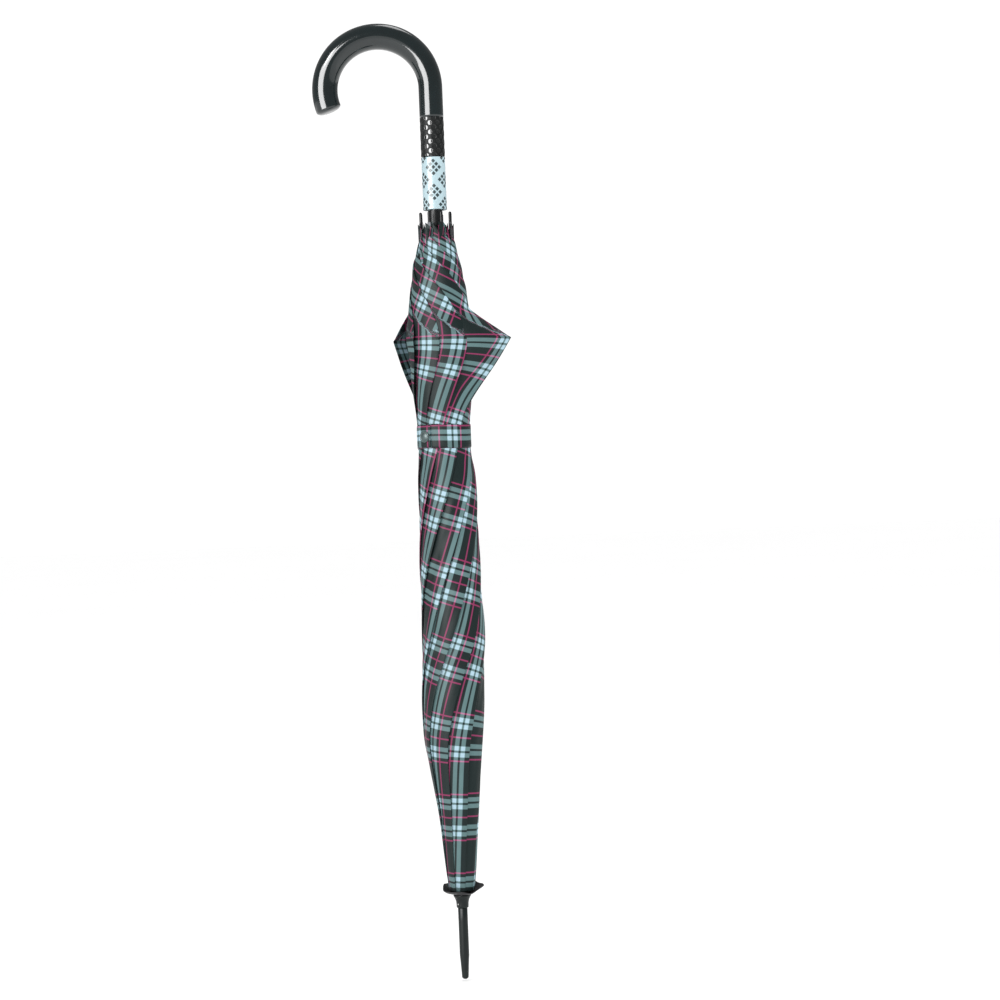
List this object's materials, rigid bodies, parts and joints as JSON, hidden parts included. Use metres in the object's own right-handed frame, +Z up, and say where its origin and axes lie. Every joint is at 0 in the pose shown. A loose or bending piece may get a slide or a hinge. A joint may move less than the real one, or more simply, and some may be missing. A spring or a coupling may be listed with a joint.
{
  "type": "stick umbrella",
  "caption": "Furled stick umbrella with a crook handle, plaid canopy held by a snap strap, and a rib frame that opens as the runner slides along the shaft.",
  "frame": {"origin": "on the shaft's axis at the shoulder of the ferrule spike", "axes": "+Z up the shaft towards the handle; the crook turns towards -X"},
  "size_m": [0.1682, 0.068, 0.8617],
  "materials": {
    "crook_plastic": "gloss",
    "net_sleeve": "embossed satin",
    "print_sleeve": "printed satin",
    "frame_steel": "black lacquered steel",
    "black_plastic": "satin",
    "bright_wire": "nickel",
    "snap_metal": "satin lacquer",
    "canopy_cloth": "woven plaid polyester",
    "strap_cloth": "woven plaid polyester",
    "rosette_cloth": "coated cloth"
  },
  "bodies": {
    "shaft": {"handle_crook": "crook_plastic", "handle_net_sleeve": "net_sleeve", "handle_print_sleeve": "print_sleeve", "shaft_tube": "frame_steel", "top_notch": "black_plastic", "top_notch_wire": "bright_wire", "bottom_spring": "bright_wire", "top_spring": "bright_wire", "ferrule": "black_plastic", "ferrule_collar": "black_plastic", "ferrule_pin": "bright_wire", "rosette": "rosette_cloth"},
    "rib_arm_1": {"rib_1": "frame_steel", "rib_tip_1": "black_plastic"},
    "strut_1": {"stretcher_1": "frame_steel"},
    "gore_1": {"canopy_panel_1": "canopy_cloth"},
    "runner_slide": {"runner": "black_plastic", "runner_wire": "bright_wire"},
    "rib_arm_2": {"rib_2": "frame_steel", "rib_tip_2": "black_plastic"},
    "strut_2": {"stretcher_2": "frame_steel"},
    "gore_2": {"canopy_panel_2": "canopy_cloth"},
    "rib_arm_3": {"rib_3": "frame_steel", "rib_tip_3": "black_plastic"},
    "strut_3": {"stretcher_3": "frame_steel"},
    "gore_3": {"canopy_panel_3": "canopy_cloth"},
    "rib_arm_4": {"rib_4": "frame_steel", "rib_tip_4": "black_plastic"},
    "strut_4": {"stretcher_4": "frame_steel"},
    "gore_4": {"canopy_panel_4": "canopy_cloth"},
    "rib_arm_5": {"rib_5": "frame_steel", "rib_tip_5": "black_plastic"},
    "strut_5": {"stretcher_5": "frame_steel"},
    "gore_5": {"canopy_panel_5": "canopy_cloth"},
    "rib_arm_6": {"rib_6": "frame_steel", "rib_tip_6": "black_plastic"},
    "strut_6": {"stretcher_6": "frame_steel"},
    "gore_6": {"canopy_panel_6": "canopy_cloth"},
    "rib_arm_7": {"rib_7": "frame_steel", "rib_tip_7": "black_plastic", "strap": "strap_cloth", "snap_cap": "snap_metal", "snap_socket": "bright_wire", "snap_stud": "bright_wire", "snap_post": "bright_wire"},
    "strut_7": {"stretcher_7": "frame_steel"},
    "gore_7": {"canopy_panel_7": "canopy_cloth"},
    "rib_arm_8": {"rib_8": "frame_steel", "rib_tip_8": "black_plastic"},
    "strut_8": {"stretcher_8": "frame_steel"},
    "gore_8": {"canopy_panel_8": "canopy_cloth"}
  },
  "joints": [
    {"name": "canopy_open", "type": "hinge", "parent": "shaft", "child": "rib_arm_1", "pos_m": [0.00601, -0.00249, 0.02], "axis": [0.3827, 0.9239, 0], "range_deg": [0, 71.5], "deforming": ["canopy_panel_1", "canopy_panel_2", "canopy_panel_3", "canopy_panel_4", "canopy_panel_5", "canopy_panel_6", "canopy_panel_7", "canopy_panel_8", "strap", "bottom_spring", "top_spring", "rosette"]},
    {"name": "strut_swing_1", "type": "hinge", "parent": "rib_arm_1", "child": "strut_1", "pos_m": [0.00818, -0.00339, 0.28999], "axis": [-0.3827, -0.9239, 0], "range_deg": [0, 143]},
    {"name": "gore_spread_1", "type": "hinge", "parent": "rib_arm_1", "child": "gore_1", "pos_m": [0.00959, -0.00397, 0.01185], "axis": [-0.965, 0.2623, 0.0087], "range_deg": [0, 42.69]},
    {"name": "runner_travel", "type": "hinge", "parent": "strut_1", "child": "runner_slide", "pos_m": [0.00601, -0.00249, 0.55998], "axis": [0.3827, 0.9239, 0], "range_deg": [0, 71.5]},
    {"name": "rib_swing_2", "type": "hinge", "parent": "shaft", "child": "rib_arm_2", "pos_m": [0.00601, 0.00249, 0.02], "axis": [-0.3827, 0.9239, 0], "range_deg": [0, 71.5]},
    {"name": "strut_swing_2", "type": "hinge", "parent": "rib_arm_2", "child": "strut_2", "pos_m": [0.00818, 0.00339, 0.28999], "axis": [0.3827, -0.9239, 0], "range_deg": [0, 143]},
    {"name": "gore_spread_2", "type": "hinge", "parent": "rib_arm_2", "child": "gore_2", "pos_m": [0.00959, 0.00397, 0.01185], "axis": [-0.8678, -0.4969, 0.0087], "range_deg": [0, 42.69]},
    {"name": "rib_swing_3", "type": "hinge", "parent": "shaft", "child": "rib_arm_3", "pos_m": [0.00249, 0.00601, 0.02], "axis": [-0.9239, 0.3827, 0], "range_deg": [0, 71.5]},
    {"name": "strut_swing_3", "type": "hinge", "parent": "rib_arm_3", "child": "strut_3", "pos_m": [0.00339, 0.00818, 0.28999], "axis": [0.9239, -0.3827, 0], "range_deg": [0, 143]},
    {"name": "gore_spread_3", "type": "hinge", "parent": "rib_arm_3", "child": "gore_3", "pos_m": [0.00397, 0.00959, 0.01185], "axis": [-0.2623, -0.965, 0.0087], "range_deg": [0, 42.69]},
    {"name": "rib_swing_4", "type": "hinge", "parent": "shaft", "child": "rib_arm_4", "pos_m": [-0.00249, 0.00601, 0.02], "axis": [-0.9239, -0.3827, 0], "range_deg": [0, 71.5]},
    {"name": "strut_swing_4", "type": "hinge", "parent": "rib_arm_4", "child": "strut_4", "pos_m": [-0.00339, 0.00818, 0.28999], "axis": [0.9239, 0.3827, 0], "range_deg": [0, 143]},
    {"name": "gore_spread_4", "type": "hinge", "parent": "rib_arm_4", "child": "gore_4", "pos_m": [-0.00397, 0.00959, 0.01185], "axis": [0.4969, -0.8678, 0.0087], "range_deg": [0, 42.69]},
    {"name": "rib_swing_5", "type": "hinge", "parent": "shaft", "child": "rib_arm_5", "pos_m": [-0.00601, 0.00249, 0.02], "axis": [-0.3827, -0.9239, 0], "range_deg": [0, 71.5]},
    {"name": "strut_swing_5", "type": "hinge", "parent": "rib_arm_5", "child": "strut_5", "pos_m": [-0.00818, 0.00339, 0.28999], "axis": [0.3827, 0.9239, 0], "range_deg": [0, 143]},
    {"name": "gore_spread_5", "type": "hinge", "parent": "rib_arm_5", "child": "gore_5", "pos_m": [-0.00959, 0.00397, 0.01185], "axis": [0.965, -0.2623, 0.0087], "range_deg": [0, 42.69]},
    {"name": "rib_swing_6", "type": "hinge", "parent": "shaft", "child": "rib_arm_6", "pos_m": [-0.00601, -0.00249, 0.02], "axis": [0.3827, -0.9239, 0], "range_deg": [0, 71.5]},
    {"name": "strut_swing_6", "type": "hinge", "parent": "rib_arm_6", "child": "strut_6", "pos_m": [-0.00818, -0.00339, 0.28999], "axis": [-0.3827, 0.9239, 0], "range_deg": [0, 143]},
    {"name": "gore_spread_6", "type": "hinge", "parent": "rib_arm_6", "child": "gore_6", "pos_m": [-0.00959, -0.00397, 0.01185], "axis": [0.8678, 0.4969, 0.0087], "range_deg": [0, 42.69]},
    {"name": "rib_swing_7", "type": "hinge", "parent": "shaft", "child": "rib_arm_7", "pos_m": [-0.00249, -0.00601, 0.02], "axis": [0.9239, -0.3827, 0], "range_deg": [0, 71.5]},
    {"name": "strut_swing_7", "type": "hinge", "parent": "rib_arm_7", "child": "strut_7", "pos_m": [-0.00339, -0.00818, 0.28999], "axis": [-0.9239, 0.3827, 0], "range_deg": [0, 143]},
    {"name": "gore_spread_7", "type": "hinge", "parent": "rib_arm_7", "child": "gore_7", "pos_m": [-0.00397, -0.00959, 0.01185], "axis": [0.2623, 0.965, 0.0087], "range_deg": [0, 42.69]},
    {"name": "rib_swing_8", "type": "hinge", "parent": "shaft", "child": "rib_arm_8", "pos_m": [0.00249, -0.00601, 0.02], "axis": [0.9239, 0.3827, 0], "range_deg": [0, 71.5]},
    {"name": "strut_swing_8", "type": "hinge", "parent": "rib_arm_8", "child": "strut_8", "pos_m": [0.00339, -0.00818, 0.28999], "axis": [-0.9239, -0.3827, 0], "range_deg": [0, 143]},
    {"name": "gore_spread_8", "type": "hinge", "parent": "rib_arm_8", "child": "gore_8", "pos_m": [0.00397, -0.00959, 0.01185], "axis": [-0.4969, 0.8678, 0.0087], "range_deg": [0, 42.69]}
  ],
  "couplings": [
    {"joint": "strut_swing_1", "follows": "canopy_open", "ratio": 2},
    {"joint": "gore_spread_1", "follows": "canopy_open", "ratio": 0.59701},
    {"joint": "runner_travel", "follows": "canopy_open", "ratio": 1},
    {"joint": "rib_swing_2", "follows": "canopy_open", "ratio": 1},
    {"joint": "strut_swing_2", "follows": "canopy_open", "ratio": 2},
    {"joint": "gore_spread_2", "follows": "canopy_open", "ratio": 0.59701},
    {"joint": "rib_swing_3", "follows": "canopy_open", "ratio": 1},
    {"joint": "strut_swing_3", "follows": "canopy_open", "ratio": 2},
    {"joint": "gore_spread_3", "follows": "canopy_open", "ratio": 0.59701},
    {"joint": "rib_swing_4", "follows": "canopy_open", "ratio": 1},
    {"joint": "strut_swing_4", "follows": "canopy_open", "ratio": 2},
    {"joint": "gore_spread_4", "follows": "canopy_open", "ratio": 0.59701},
    {"joint": "rib_swing_5", "follows": "canopy_open", "ratio": 1},
    {"joint": "strut_swing_5", "follows": "canopy_open", "ratio": 2},
    {"joint": "gore_spread_5", "follows": "canopy_open", "ratio": 0.59701},
    {"joint": "rib_swing_6", "follows": "canopy_open", "ratio": 1},
    {"joint": "strut_swing_6", "follows": "canopy_open", "ratio": 2},
    {"joint": "gore_spread_6", "follows": "canopy_open", "ratio": 0.59701},
    {"joint": "rib_swing_7", "follows": "canopy_open", "ratio": 1},
    {"joint": "strut_swing_7", "follows": "canopy_open", "ratio": 2},
    {"joint": "gore_spread_7", "follows": "canopy_open", "ratio": 0.59701},
    {"joint": "rib_swing_8", "follows": "canopy_open", "ratio": 1},
    {"joint": "strut_swing_8", "follows": "canopy_open", "ratio": 2},
    {"joint": "gore_spread_8", "follows": "canopy_open", "ratio": 0.59701}
  ]
}
